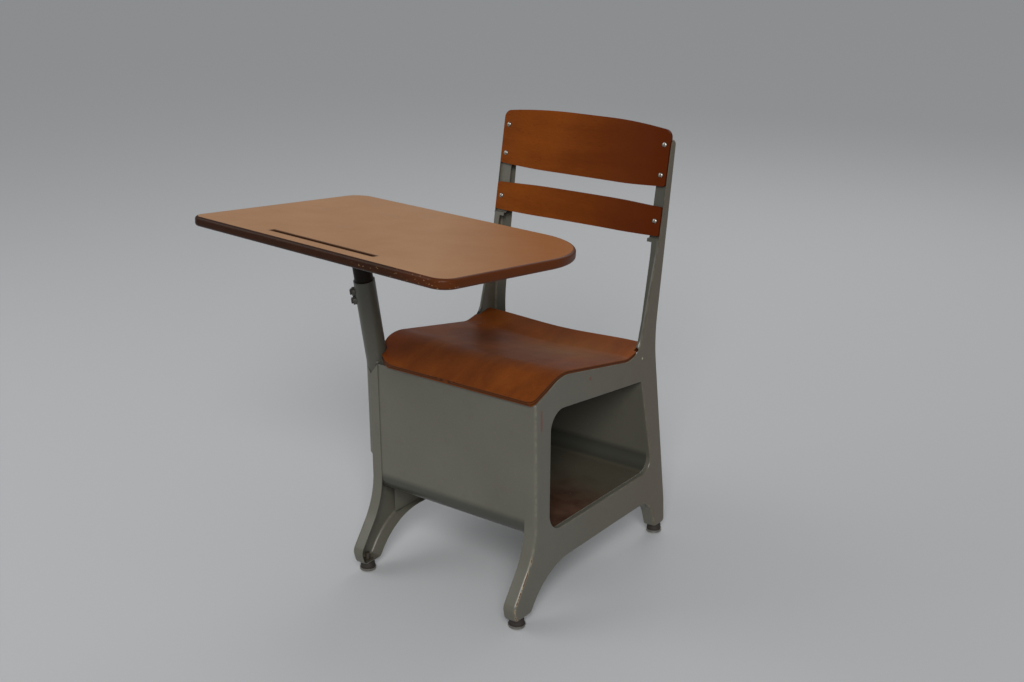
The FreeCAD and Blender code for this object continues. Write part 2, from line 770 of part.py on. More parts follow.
def back_slat(label, bottom_drop, height, crown, sag, corner, drops):
    body = new_body(label)
    body.Placement = on_back(bottom_drop)
    strip = new_sketch(body, label + "_strip", "XY_Plane", "-%s" % sag)
    draw(strip, band(slat_curve, size("slat_thickness")))
    pad(body, strip, label + "_moulding", "%s + %s + %s" % (height, crown, sag))
    tall = size(height.split(".")[1])
    spread = 0.55 * slat_half
    sweep = 5.5 * slat_half
    face = new_sketch(body, label + "_face", "XZ_Plane")
    margin = 2 * slat_half
    draw(face, [
        (-slat_half, 0, corner / 3), (-spread, -sag, sweep), (spread, -sag, sweep),
        (slat_half, 0, corner / 3), (slat_half, tall, corner),
        (spread, tall + crown, sweep), (-spread, tall + crown, sweep),
        (-slat_half, tall, corner),
    ], [(-margin, -margin, 0), (margin, -margin, 0), (margin, margin, 0), (-margin, margin, 0)])
    pocket(body, face, label + "_trim", "4 * Sizes.slat_bow + 4 * Sizes.slat_thickness",
           middle=True)
    for side in (-1, 1):
        for i, drop in enumerate(drops, start=1):
            base = Vector(side * rivet_x, -2 * size("slat_thickness"), bottom_drop - drop)
            place = FreeCAD.Placement(base, FreeCAD.Rotation(Vector(1, 0, 0), -90))
            bored(body, "%s_hole_%d_%d" % (label, side + 1, i), "rivet_diameter",
                  4 * size("slat_thickness"), place, gap / 2)
    return keep(body, label)


back_slat("upper_back_slat", upper_bottom, "Sizes.upper_slat_height", size("slat_crown"),
          size("slat_sag"), size("slat_corner_radius"), upper_rivet_drops)
back_slat("lower_back_slat", lower_bottom, "Sizes.lower_slat_height", size("slat_sag") / 2,
          size("slat_sag") / 2, size("slat_corner_radius") / 3, lower_rivet_drops)


def revolved(body, name, corners):
    """A turned piece: a half section in (radius, height) spun about the z axis."""
    section = new_sketch(body, name + "_section", "XZ_Plane")
    draw(section, corners)
    turn = body.newObject("PartDesign::Revolution", name)
    turn.Profile = section
    turn.ReferenceAxis = (section, ["V_Axis"])
    turn.Angle = 360
    return turn


def group_of(label, master, placements):
    """Like fasteners as one node: a copy of the master solid at each placement."""
    doc.recompute()
    solids = []
    for placement in placements:
        copy = master.Shape.copy()
        copy.Placement = placement.multiply(copy.Placement)
        solids.append(copy)
    group = doc.addObject("Part::Feature", label)
    group.Shape = Part.makeCompound(solids)
    return keep(group, label)


# Rivets: a domed head in front, the shank through slat and flange, a flat tail behind.

grip = slat_sink + size("sheet_thickness")
head_r = size("rivet_head") / 2
shank_r = size("rivet_diameter") / 2
head_z = size("rivet_head_height")
rivet = new_body("rivet_master")
revolved(rivet, "rivet_turned", [
    (0, -head_z * 0.6, 0),
    (shank_r * 1.5, -head_z * 0.6, 0),
    (shank_r * 1.5, 0, 0),
    (shank_r, 0, 0),
    (shank_r, grip, 0),
    (head_r, grip, 0),
    (head_r * 0.55, grip + head_z, 0),
    (0, grip + head_z, 0),
])


def rivets(label, drops):
    places = []
    for side in (-1, 1):
        for drop in drops:
            place = on_back(drop, side * rivet_x)
            tail = place.multVec(Vector(0, grip, 0))
            places.append(FreeCAD.Placement(
                tail, place.Rotation * FreeCAD.Rotation(Vector(1, 0, 0), 90)))
    return group_of(label, rivet, places)


rivets("upper_slat_rivets", upper_rivet_drops)
rivets("lower_slat_rivets", lower_rivet_drops)


def screw_master(name, diameter, head, length):
    """A round-headed wood screw, point up, the head's flat at height zero."""
    body = new_body(name)
    shank = size(diameter) / 2
    flat = size(head) / 2
    long = size(length)
    revolved(body, name + "_turned", [
        (0, -flat * 0.5, 0),
        (flat * 0.6, -flat * 0.5, 0),
        (flat, 0, 0),
        (shank, 0, 0),
        (shank, long, 0),
        (0, long, 0),
    ])
    return body


seat_screw = screw_master("seat_screw_master", "seat_screw_diameter", "seat_screw_head",
                          "seat_screw_length")
seat_screw_places = [
    seat_screw_place(side, share) for side in (-1, 1) for share in seat_screw_shares
]
group_of("seat_screws", seat_screw, seat_screw_places)

# Post: a bent steel tube in the right side frame, with two tapped bosses near its rim.

post_foot = Vector(post_x, post_y, size("post_foot_height"))


def post_route(body, name):
    """The line of the post: upright, a gentle bend, then leaning to the front."""
    length = size("post_bend_radius") * tangent(lean / 2)
    start = Vector(post_y, post_foot.z, 0)
    corner = Vector(post_y, post_bend.z, 0)
    end = Vector(post_rim.y, post_rim.z, 0)
    lower = corner - Vector(0, length, 0)
    upper = corner + (end - corner).normalize() * length
    centre = Vector(post_y - size("post_bend_radius"), lower.y, 0)
    middle = centre + (corner - centre).normalize() * size("post_bend_radius")
    route = new_sketch(body, name, "YZ_Plane",
                       "Sizes.post_inset - Sizes.frame_width / 2")
    route.addGeometry([
        Part.LineSegment(start, lower),
        Part.Arc(lower, middle, upper),
        Part.LineSegment(upper, end),
    ], False)
    return route


def clamp_placement(drop, outwards):
    """On the post's wall, with z pointing out along the clamp screw."""
    angle = math.radians(size("clamp_direction_angle"))
    level_way = Vector(math.cos(angle), math.sin(angle), 0)
    across = level_way - post_axis * level_way.dot(post_axis)
    across.normalize()
    centre = post_rim - post_axis * drop
    return FreeCAD.Placement(centre + across * outwards, FreeCAD.Rotation(Vector(0, 0, 1), across))


clamp_drops = [size("clamp_drop") + i * size("clamp_spacing") for i in (0, 1)]
post_radius = size("post_diameter") / 2

post = new_body("post_tube")
route = post_route(post, "post_route")
wall = new_sketch(post, "post_section", "XY_Plane", "Sizes.post_foot_height")
draw_circle(wall, post_x, post_y, "post_diameter")
sweep = post.newObject("PartDesign::AdditivePipe", "post_bent")
sweep.Profile = wall
sweep.Spine = (route, [])
doc.recompute()
for i, drop in enumerate(clamp_drops, start=1):
    place = clamp_placement(drop, post_radius - size("post_wall"))
    bored(post, "clamp_boss_%d" % i, "clamp_boss_diameter",
          size("post_wall") + size("clamp_boss_height"), place, add=True)
doc.recompute()
bore = new_sketch(post, "post_bore_section", "XY_Plane", "Sizes.post_foot_height")
bore_circle = Part.Circle(Vector(post_x, post_y, 0), Vector(0, 0, 1), post_radius - size("post_wall"))
bore.addGeometry(bore_circle, False)
bore_route = post_route(post, "post_bore_route")
hollow = post.newObject("PartDesign::SubtractivePipe", "post_bore")
hollow.Profile = bore
hollow.Spine = (bore_route, [])
doc.recompute()
for i, drop in enumerate(clamp_drops, start=1):
    bored(post, "clamp_thread_%d" % i, "clamp_screw_diameter", post_radius,
          clamp_placement(drop, post_radius / 2), size("socket_clearance"))
keep(post, "post_tube")

for label, drop in zip(("upper_clamp_screw", "lower_clamp_screw"), clamp_drops):
    screw = new_body(label)
    tip = post_radius - size("post_wall")
    seat_at = post_radius + size("clamp_boss_height")
    screw.Placement = clamp_placement(drop, 0)
    head = size("clamp_screw_head") / 2
    thread = size("clamp_screw_diameter") / 2
    head_top = seat_at + gap + size("clamp_screw_head_height")
    revolved(screw, label + "_turned", [
        (0, tip, 0),
        (thread, tip, 0),
        (thread, seat_at + gap, 0),
        (head * 1.3, seat_at + gap, 0),
        (head * 1.3, head_top, 0),
        (0, head_top, 0),
    ])
    square = new_sketch(screw, label + "_square", "XY_Plane", "%s" % (seat_at + gap))
    draw(square, [
        (-head, -head, 0), (head, -head, 0), (head, head, 0), (-head, head, 0),
    ], [
        (-3 * head, -3 * head, 0), (3 * head, -3 * head, 0),
        (3 * head, 3 * head, 0), (-3 * head, 3 * head, 0),
    ])
    pocket(screw, square, label + "_flats", "2 * Sizes.clamp_screw_head_height", True)
    keep(screw, label)

# Stem: the inner tube that slides in the post and carries the tablet.

stem = new_body("tablet_stem")
stem.Placement = FreeCAD.Placement(post_rim, along_post)
stem_r = size("stem_diameter") / 2
plate_tilt = lean + size("tablet_slope_angle")
plate_slant = size("bracket_plate") + stem_r * tangent(plate_tilt)
stem_top = size("stem_reach") - 2 * plate_slant - size("bracket_plate")
revolved(stem, "stem_turned", [
    (stem_r - size("stem_wall"), -size("stem_insertion"), 0),
    (stem_r, -size("stem_insertion"), 0),
    (stem_r, stem_top, 0),
    (stem_r - size("stem_wall"), stem_top, 0),
])
keep(stem, "tablet_stem")

# Tablet: its own frame lies in its underside, with the origin on the post's axis,
# x towards the sitter's left and y towards the sitter.

tablet_turn = (FreeCAD.Rotation(Vector(1, 0, 0), -size("tablet_slope_angle"))
               * FreeCAD.Rotation(Vector(0, 0, 1), size("tablet_turn_angle")))
tablet_place = FreeCAD.Placement(tablet_seat, tablet_turn)
axis_in_tablet = tablet_turn.inverted() * along_post
tablet_low_x = -size("tablet_post_end")
tablet_low_y = size("tablet_post_edge") - size("tablet_depth")
tablet_plan = [
    (tablet_low_x, tablet_low_y, size("far_right_radius")),
    (tablet_low_x + size("tablet_length"), tablet_low_y, size("far_left_radius")),
    (tablet_low_x + size("tablet_length"), size("tablet_post_edge"), size("near_left_radius")),
    (tablet_low_x, size("tablet_post_edge"), size("near_right_radius")),
]
groove_x = tablet_low_x + size("tablet_length") / 2
groove_y = tablet_low_y + size("groove_setback")


def slot_outline(length, width):
    corners = []
    for along, across in ((-1, -1), (1, -1), (1, 1), (-1, 1)):
        corners.append((groove_x + along * length / 2, groove_y + across * width / 2, width * 0.49))
    return corners


screw_shares = ((-0.38, -0.33), (0.38, -0.33), (0.38, 0.33), (-0.38, 0.33))
bracket_screw_spots = [
    (along * size("bracket_length"), across * size("bracket_width")) for along, across in screw_shares
]

tablet = new_body("tablet_top")
tablet.Placement = tablet_place
tablet_sketch = new_sketch(tablet, "tablet_plan", "XY_Plane")
draw(tablet_sketch, tablet_plan)
board = pad(tablet, tablet_sketch, "tablet_board", "Sizes.tablet_thickness")
doc.recompute()
rims = edges_where(board, lambda edge: edge.BoundBox.ZLength < gap)
rounded(tablet, board, rims, "tablet_edge", "Sizes.tablet_edge_radius")
rebate = new_sketch(tablet, "laminate_rebate_plan", "XY_Plane", "Sizes.tablet_thickness")
draw(rebate, inset(tablet_plan, size("laminate_border")))
pocket(tablet, rebate, "laminate_rebate", "Sizes.laminate_thickness")
groove = new_sketch(tablet, "groove_plan", "XY_Plane", "Sizes.tablet_thickness")
draw(groove, slot_outline(size("groove_length"), size("groove_width")))
pocket(tablet, groove, "pencil_groove", "Sizes.groove_depth")
for i, (x, y) in enumerate(bracket_screw_spots, start=1):
    bored(tablet, "tablet_pilot_%d" % i, "bracket_screw_diameter",
          size("bracket_screw_length") - size("bracket_plate") + gap,
          turned(x, y, 0), size("socket_clearance"))
keep(tablet, "tablet_top")

laminate = new_body("tablet_laminate")
laminate.Placement = tablet_place
laminate_sketch = new_sketch(laminate, "laminate_plan", "XY_Plane",
                             "Sizes.tablet_thickness - Sizes.laminate_thickness")
draw(laminate_sketch, inset(tablet_plan, size("laminate_border") + size("laminate_gap")),
     slot_outline(size("groove_length"), size("groove_width")))
pad(laminate, laminate_sketch, "laminate_sheet", "Sizes.laminate_thickness")
keep(laminate, "tablet_laminate")

# Bracket: a cast plate under the tablet with a ribbed socket that turns on the stem.

bracket = new_body("tablet_bracket")
bracket.Placement = tablet_place
half_l = size("bracket_length") / 2
half_w = size("bracket_width") / 2
corner = size("bracket_corner_radius")
plate = new_sketch(bracket, "bracket_plan", "XY_Plane", "-Sizes.bracket_plate")
draw(plate, [(-half_l, -half_w, corner), (half_l, -half_w, corner),
             (half_l, half_w, corner), (-half_l, half_w, corner)])
pad(bracket, plate, "bracket_plate", "Sizes.bracket_plate")
socket_radius = stem_r + size("bracket_socket_wall")
rib_drop = size("bracket_socket_length") * 0.7
for name, role, run in (("long_rib", "XZ_Plane", half_l), ("cross_rib", "YZ_Plane", half_w)):
    rib = new_sketch(bracket, name + "_outline", role)
    draw(rib, [
        (-socket_radius * 0.7, -rib_drop, 0), (socket_radius * 0.7, -rib_drop, 0),
        (run * 0.86, -size("bracket_plate") * 1.3, 0), (run * 0.86, -size("bracket_plate") / 2, 0),
        (-run * 0.86, -size("bracket_plate") / 2, 0), (-run * 0.86, -size("bracket_plate") * 1.3, 0),
    ])
    pad(bracket, rib, name, "Sizes.bracket_plate * 1.3", middle=True)
reach = size("bracket_socket_length")
down_axis = axis_in_tablet.multVec(Vector(0, 0, -1))
socket_foot = FreeCAD.Placement(down_axis * (reach + plate_slant), axis_in_tablet)
socket_body = bracket.newObject("PartDesign::AdditiveCylinder", "bracket_socket")
socket_body.Radius = socket_radius
socket_body.Height = reach + plate_slant
socket_body.Placement = socket_foot
doc.recompute()
level_top = new_sketch(bracket, "bracket_level", "XY_Plane")
draw(level_top, [(-half_l, -half_l, 0), (half_l, -half_l, 0), (half_l, half_l, 0), (-half_l, half_l, 0)])
pocket(bracket, level_top, "bracket_face", "2 * Sizes.bracket_socket_length", True)
bore_length = reach + plate_slant - (size("stem_reach") - stem_top) + gap
bored(bracket, "bracket_bore", "stem_diameter", bore_length, socket_foot, size("socket_clearance"))
for i, (x, y) in enumerate(bracket_screw_spots, start=1):
    bored(bracket, "bracket_hole_%d" % i, "bracket_screw_diameter", 2 * reach,
          turned(x, y, -reach), size("socket_clearance"))
keep(bracket, "tablet_bracket")

bracket_screw = screw_master("bracket_screw_master", "bracket_screw_diameter",
                             "bracket_screw_head", "bracket_screw_length")
group_of("tablet_bracket_screws", bracket_screw, [
    tablet_place.multiply(turned(x, y, -size("bracket_plate"))) for x, y in bracket_screw_spots
])

# Feet: a stiffening plate in the bottom of each leg, and a glide that turns in it.

foot_z = size("foot_height")
cup_r = size("glide_diameter") / 2
cup_z = size("glide_cup_height")
glide_wall = size("glide_wall")
stem_half = size("glide_stem_diameter") / 2
plate_half = size("glide_diameter") * 0.42
for side, side_name in ((1, "left"), (-1, "right")):
    for end, end_name in ((-1, "front"), (1, "rear")):
        prefix = end_name + "_" + side_name
        x = side * glide_x
        y = end * half_depth
        inner = half_width - size("sheet_thickness") - gap
        outer = half_width - size("flange_depth") + size("sheet_thickness")
        foot = new_body(prefix + "_foot_plate")
        foot_sketch = new_sketch(foot, prefix + "_foot_plan", "XY_Plane",
                                 "Sizes.foot_height + Sizes.sheet_thickness")
        low_x, high_x = sorted((side * (inner - size("bend_radius")), side * outer))
        draw(foot_sketch, [
            (low_x, y - plate_half, 0), (high_x, y - plate_half, 0),
            (high_x, y + plate_half / 2, 0), (low_x, y + plate_half / 2, 0),
        ])
        pad(foot, foot_sketch, prefix + "_foot_blank", "Sizes.foot_plate")
        bored(foot, prefix + "_foot_hole", "glide_stem_diameter", foot_z + 2 * size("foot_plate"),
              turned(x, y, foot_z - overrun), size("glide_play"))
        keep(foot, prefix + "_foot_plate")

        cup = new_body(prefix + "_glide_cup")
        cup.Placement = turned(x, y, 0)
        revolved(cup, prefix + "_cup_pressed", [
            (0, 0, 0), (cup_r * 0.6, 0, 0), (cup_r, cup_z * 0.45, 0),
            (cup_r, cup_z, 0), (cup_r - glide_wall, cup_z, 0),
            (cup_r - glide_wall, cup_z * 0.45 + glide_wall, 0),
            (cup_r * 0.6, glide_wall * 1.5, 0), (0, glide_wall * 1.5, 0),
        ])
        keep(cup, prefix + "_glide_cup")

        cushion = new_body(prefix + "_glide_cushion")
        cushion.Placement = turned(x, y, 0)
        cushion_r = cup_r - glide_wall - gap / 2
        cushion_low = cup_z * 0.45 + glide_wall + gap
        revolved(cushion, prefix + "_cushion_moulded", [
            (stem_half + gap / 2, cushion_low, 0), (cushion_r, cushion_low, 0),
            (cushion_r, cup_z * 1.15, 0), (cup_r * 0.82, foot_z - gap / 2, 0),
            (stem_half + gap / 2, foot_z - gap / 2, 0),
        ])
        keep(cushion, prefix + "_glide_cushion")

        pin = new_body(prefix + "_glide_stem")
        pin.Placement = turned(x, y, 0)
        stem_end = foot_z + size("glide_stem_length")
        flange_z = glide_wall * 1.5
        revolved(pin, prefix + "_stem_turned", [
            (0, flange_z, 0), (cup_r * 0.55, flange_z, 0), (cup_r * 0.55, cushion_low - gap, 0),
            (stem_half, cushion_low - gap, 0), (stem_half, stem_end, 0), (0, stem_end, 0),
        ])
        keep(pin, prefix + "_glide_stem")

# Every object has to be sound before anything is written.

doc.recompute()
for item in doc.Objects:
    if "Invalid" in item.State or "Error" in item.State:
        raise RuntimeError("%s is not sound: %s" % (item.Name, item.State))
labels = [piece.Label for piece in pieces]
if len(set(labels)) != len(labels):
    raise RuntimeError("two pieces have one name")
for piece in pieces:
    if piece.Shape.isNull() or not piece.Shape.isValid():
        raise RuntimeError("%s has no valid shape" % piece.Label)

os.makedirs("parts", exist_ok=True)
for piece in pieces:
    piece.Shape.exportStep(os.path.join("parts", piece.Label + ".step"))
print("%d pieces written" % len(pieces))
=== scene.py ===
import math
import bpy
from mathutils import Euler, Matrix, Vector


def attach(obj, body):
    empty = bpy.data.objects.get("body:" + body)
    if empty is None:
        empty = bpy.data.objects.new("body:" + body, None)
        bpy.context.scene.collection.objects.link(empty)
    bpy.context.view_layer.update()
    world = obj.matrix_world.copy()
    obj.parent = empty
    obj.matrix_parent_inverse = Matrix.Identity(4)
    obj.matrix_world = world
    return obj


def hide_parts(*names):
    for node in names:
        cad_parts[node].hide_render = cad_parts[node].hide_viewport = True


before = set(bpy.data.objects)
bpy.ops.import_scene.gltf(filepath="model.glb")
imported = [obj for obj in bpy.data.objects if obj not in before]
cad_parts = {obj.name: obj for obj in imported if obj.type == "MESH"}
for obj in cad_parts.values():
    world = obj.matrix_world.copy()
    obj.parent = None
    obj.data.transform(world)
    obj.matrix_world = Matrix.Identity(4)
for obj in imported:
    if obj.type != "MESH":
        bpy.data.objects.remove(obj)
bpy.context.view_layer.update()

# Side frames
# Two pans of mild steel sheet, pressed with a rounded edge and a flange turned inwards,
# spot welded to the book box and sprayed with a gloss enamel of a warm grey-green.


def linear(code):
    """A colour written as sRGB hex, as linear light."""
    parts = [int(code[i:i + 2], 16) / 255 for i in (1, 3, 5)]
    return [c / 12.92 if c <= 0.04045 else ((c + 0.055) / 1.055) ** 2.4 for c in parts] + [1.0]


def add(tree, kind, inputs=None, **settings):
    """One shader node with its settings; an input takes a value or another node's socket."""
    node = tree.nodes.new("ShaderNode" + kind)
    for name, value in settings.items():
        setattr(node, name, value)
    for key, value in (inputs or {}).items():
        if isinstance(value, bpy.types.NodeSocket):
            tree.links.new(value, node.inputs[key])
        else:
            node.inputs[key].default_value = value
    return node


def place_on(tree):
    """The place on the object, in metres."""
    return add(tree, "TexCoord").outputs["Object"]


def axes(tree, vector):
    """The X, Y and Z of a vector, each by its name."""
    return add(tree, "SeparateXYZ", {0: vector}).outputs


def facing_of(tree):
    """The X, Y and Z of the way the surface faces, each by its name."""
    return axes(tree, add(tree, "TexCoord").outputs["Normal"])


def calc(tree, operation, *values, **settings):
    """One sum on values or sockets."""
    return add(tree, "Math", dict(enumerate(values)), operation=operation, **settings).outputs[0]


def ramp(tree, value, start, end, low=0.0, high=1.0):
    """Low up to where a value is at its start, high from where it is at its end."""
    return add(tree, "MapRange", {"Value": value, "From Min": start, "From Max": end,
                                  "To Min": low, "To Max": high}).outputs[0]


def noise(tree, place, size, detail, **others):
    """Clouds of a size in metres, as a value round 0.5."""
    return add(tree, "TexNoise", {"Vector": place, "Scale": 1 / size, "Detail": detail,
                                  **others}).outputs["Fac"]


def mixed(tree, share, under, over):
    """One colour over another by a share; each is sRGB hex or another node's socket."""
    under, over = [linear(tone) if isinstance(tone, str) else tone for tone in (under, over)]
    return add(tree, "Mix", {0: share, 6: under, 7: over}, data_type="RGBA").outputs[2]


def bump(tree, height, strength, depth, **beneath):
    """Relief of a depth in metres, on top of the relief beneath it."""
    return add(tree, "Bump", {"Height": height, "Strength": strength, "Distance": depth,
                              **beneath}).outputs[0]


def new_material(name):
    """An empty material, with its tree and its surface shader."""
    material = bpy.data.materials.new(name)
    material.use_nodes = True
    tree = material.node_tree
    return material, tree, tree.nodes["Principled BSDF"]


def select_only(piece):
    bpy.ops.object.select_all(action="DESELECT")
    piece.select_set(True)
    bpy.context.view_layer.objects.active = piece


def smoothed(piece, angle=35):
    """Curved faces shaded smooth, while flat faces beside them keep their own normals."""
    bpy.ops.object.shade_smooth_by_angle(angle=math.radians(angle))
    flats = piece.modifiers.new("flats", "WEIGHTED_NORMAL")
    flats.keep_sharp = True
    bpy.ops.object.modifier_apply(modifier="flats")


def pressed_copy(node, name, body, angle=35):
    """A copy of a CAD node with its corners joined and its curved faces shaded smooth."""
    piece = bpy.data.objects.new(name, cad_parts[node].data.copy())
    bpy.context.scene.collection.objects.link(piece)
    select_only(piece)
    bpy.ops.object.mode_set(mode="EDIT")
    bpy.ops.mesh.select_all(action="SELECT")
    bpy.ops.mesh.remove_doubles(threshold=0.00002)
    bpy.ops.object.mode_set(mode="OBJECT")
    bpy.ops.mesh.customdata_custom_splitnormals_clear()
    smoothed(piece, angle)
    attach(piece, body)
    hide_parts(node)
    return piece


def paint(piece, material):
    piece.data.materials.clear()
    piece.data.materials.append(material)


def enamel_coat(tree, coat, rubbing_and_sheen=0.35):
    """Sprayed enamel: cloudy colour, dust, orange peel, and bends rubbed by hands and shoes,
    lightened further by a painted highlight.

    Returns the colour, the place on the object in metres, and the share of the bend."""
    place = place_on(tree)
    side = calc(tree, "ABSOLUTE", facing_of(tree)["X"])
    # Clouding of the old paint, about 120 mm across.
    colour = mixed(tree, noise(tree, place, 0.12, 3.0), "#535147", "#626056")
    # The webs have darkened and browned towards the back, where hands hold the chair.
    rearward = ramp(tree, axes(tree, place)["Y"], -0.16, 0.16, high=0.8)
    colour = mixed(tree, calc(tree, "MULTIPLY", side, rearward), colour, "#554C3E")
    # Hand grime in soft patches of about 30 mm.
    grime = noise(tree, place, 0.03, 6.0, Roughness=0.7)
    colour = mixed(tree, ramp(tree, grime, 0.52, 0.75, high=0.3), colour, "#4A463C")
    # The pressed bend turns from web to flange, where the paint is rubbed thin; the lighter
    # colour there is partly a painted highlight along the bend.
    bend = ramp(tree, side, 0.35, 0.7)
    web = ramp(tree, side, 0.8, 0.97)
    corner = calc(tree, "SUBTRACT", bend, web, use_clamp=True)
    thin_paint_and_sheen = ramp(tree, noise(tree, place, 0.012, 5.0), 0.45, 0.62, high=rubbing_and_sheen)
    colour = mixed(tree, calc(tree, "MULTIPLY", corner, thin_paint_and_sheen), colour, "#7F7C6C")
    # Dust nibs under a millimetre, drawn at 2 mm so that they show.
    nibs = ramp(tree, noise(tree, place, 0.002, 1.0), 0.7, 0.8, high=0.35)
    colour = mixed(tree, nibs, colour, "#8C8A7C")
    # Orange peel of the sprayed coat, 3 mm across, over the faintly dented sheet.
    dents = bump(tree, noise(tree, place, 0.06, 2.0), 0.25, 0.002)
    peel = bump(tree, noise(tree, place, 0.003, 1.0), 0.08, 0.0004, Normal=dents)
    tree.links.new(peel, coat.inputs["Normal"])
    tree.links.new(ramp(tree, grime, 0.0, 1.0, 0.24, 0.44), coat.inputs["Roughness"])
    coat.inputs["IOR"].default_value = 1.45
    return colour, place, corner


def patch(tree, place, centre, reach, grain, edge, fade=0.1):
    """A ragged patch round a centre: 1 inside, 0 outside. Reach is its half size each way,
    grain the size of its rags, edge how far they reach and fade how soft its rim is."""
    away = add(tree, "Mapping", {"Vector": place, "Scale": [1 / r for r in reach],
                                 "Location": [-c / r for c, r in zip(centre, reach)]})
    length = add(tree, "VectorMath", {0: away.outputs[0]}, operation="LENGTH").outputs["Value"]
    rags = noise(tree, place, grain, 6.0, Roughness=0.75)
    rim = 1.0 + edge * 0.5
    return ramp(tree, calc(tree, "MULTIPLY_ADD", rags, edge, length), rim, rim - fade)


# Gloss enamel, sprayed over pressed steel: soft highlights along the bends, slightly cloudy.
enamel, tree, coat = new_material("sprayed_gloss_enamel_on_steel")
colour, place, corner = enamel_coat(tree, coat)
# A red scuff down the near web in front of the book opening, a red spot over the opening,
# and a bare, pale dot near the back.
web_x = 0.1865
for centre, reach, grain, edge, tone in (
        ((web_x, -0.170, 0.364), (0.012, 0.0028, 0.022), 0.005, 1.8, "#664038"),
        ((web_x, -0.027, 0.3965), (0.01, 0.0035, 0.0045), 0.004, 1.2, "#5F3A31"),
        ((web_x, 0.141, 0.384), (0.01, 0.0022, 0.0022), 0.003, 0.4, "#A39C88")):
    colour = mixed(tree, patch(tree, place, centre, reach, grain, edge), colour, tone)
# Painted shade darkens the front edge of the near upright.
spot = axes(tree, place)
front_edge = ramp(tree, facing_of(tree)["Y"], -0.3, -0.8)
upright = ramp(tree, spot["Z"], 0.4, 0.43, high=0.7)
near_side = ramp(tree, spot["X"], 0.0, 0.1)
painted_upright_shade = calc(tree, "MULTIPLY", calc(tree, "MULTIPLY", front_edge, upright), near_side)
colour = mixed(tree, painted_upright_shade, colour, "#33332C")
# Shoes have worn the front legs' corners in flakes of 7 mm: pale primer round rust.
near_leg, far_leg = [patch(tree, place, (x, -0.222, 0.085), (0.012, 0.034, 0.095), 0.008, 1.5)
                     for x in (0.186, -0.186)]
flaked = ramp(tree, noise(tree, place, 0.007, 4.0), 0.4, 0.6, low=0.35)
worn = calc(tree, "MULTIPLY", calc(tree, "MAXIMUM", near_leg, far_leg),
            calc(tree, "MULTIPLY", corner, flaked))
for start, end, tone in ((0.3, 0.45, "#8A7C66"), (0.55, 0.7, "#4E3526")):
    colour = mixed(tree, ramp(tree, worn, start, end), colour, tone)
tree.links.new(colour, coat.inputs["Base Color"])

for side in ("left", "right"):
    node = side + "_side_frame"
    pan = pressed_copy(node, node + "_pressing", "chair")
    paint(pan, enamel)

# Book box
# One sheet of steel folded into a front, a floor and a back, with a flat liner on the
# post side. Books have worn the floor down to a brown, rusty bloom.

boxed, tree, coat = new_material("worn_enamel_and_painted_shade_of_the_book_box")
colour, place, _ = enamel_coat(tree, coat)
spot = axes(tree, place)
facing = facing_of(tree)
level = ramp(tree, facing["Z"], 0.45, 0.85)
low_down = ramp(tree, spot["Z"], 0.185, 0.155)
on_floor = calc(tree, "MULTIPLY", level, low_down)
# Books slid in from the side have drawn the bloom, 45 mm across, out along the box.
slid = add(tree, "Mapping", {"Vector": place, "Scale": (0.75, 1.0, 1.0)}).outputs[0]
bloom = noise(tree, slid, 0.045, 8.0, Roughness=0.65)
rust = mixed(tree, ramp(tree, bloom, 0.3, 0.7), "#33221A", "#5C4334")
# The rust fades to bare, darkened enamel towards the back of the box.
rearward = calc(tree, "MULTIPLY_ADD", bloom, 0.16, spot["Y"])
age_and_painted_light = mixed(tree, ramp(tree, rearward, 0.05, 0.17, high=0.9), rust, "#4B493D")
colour = mixed(tree, on_floor, colour, age_and_painted_light)
# Crumbs and grit of 2 to 3 mm.
grit = ramp(tree, noise(tree, place, 0.0025, 2.0), 0.71, 0.76)
colour = mixed(tree, calc(tree, "MULTIPLY", grit, on_floor), colour, "#8E8578")
# Painted shade darkens the front's lower fold, and fades out over 12 mm at the top.
fold_shade = ramp(tree, spot["Z"], 0.187, 0.175, high=0.75)
ahead = ramp(tree, facing["Y"], -0.2, -0.5)
colour = mixed(tree, calc(tree, "MULTIPLY", fold_shade, ahead), colour, "#2E2F2A")
tree.links.new(colour, coat.inputs["Base Color"])

book_box = pressed_copy("book_box", "book_box_folding", "chair")
paint(book_box, boxed)
liner = pressed_copy("right_box_liner", "right_box_liner_sheet", "chair")
# Its front edge runs on 9 mm behind the post, so that no light falls past it.
liner_growth = 0.009
liner_front = min(vertex.co.y for vertex in liner.data.vertices)
for vertex in liner.data.vertices:
    if vertex.co.y < liner_front + 0.001:
        vertex.co.y -= liner_growth
paint(liner, enamel)

# Seat
# Five plies of birch, moulded under heat with a rolled front and a dished middle,
# stained red-brown and lacquered, with the plies showing dark along the edge.


def ply_share(piece, up):
    """An attribute that runs from 0 on the underside to 1 on the top, through the edge."""
    mesh = piece.data
    layer = mesh.attributes.new("ply_share", "FLOAT", "POINT")
    facing = [Vector() for _ in mesh.vertices]
    for face in mesh.polygons:
        for index in face.vertices:
            if abs(face.normal.dot(up)) > 0.5:
                facing[index] += face.normal
    for value, normal in zip(layer.data, facing):
        value.value = 1.0 if normal.dot(up) > 0 else 0.0


def eased(piece, width):
    """The sharp edges eased. The mesh's shortest edges keep the width below what is asked."""
    select_only(piece)
    bevel = piece.modifiers.new("eased", "BEVEL")
    bevel.width = width
    bevel.segments = 3
    bevel.limit_method = "ANGLE"
    bevel.angle_limit = math.radians(40)
    bpy.ops.object.modifier_apply(modifier="eased")
    bpy.ops.mesh.customdata_custom_splitnormals_clear()
    smoothed(piece)


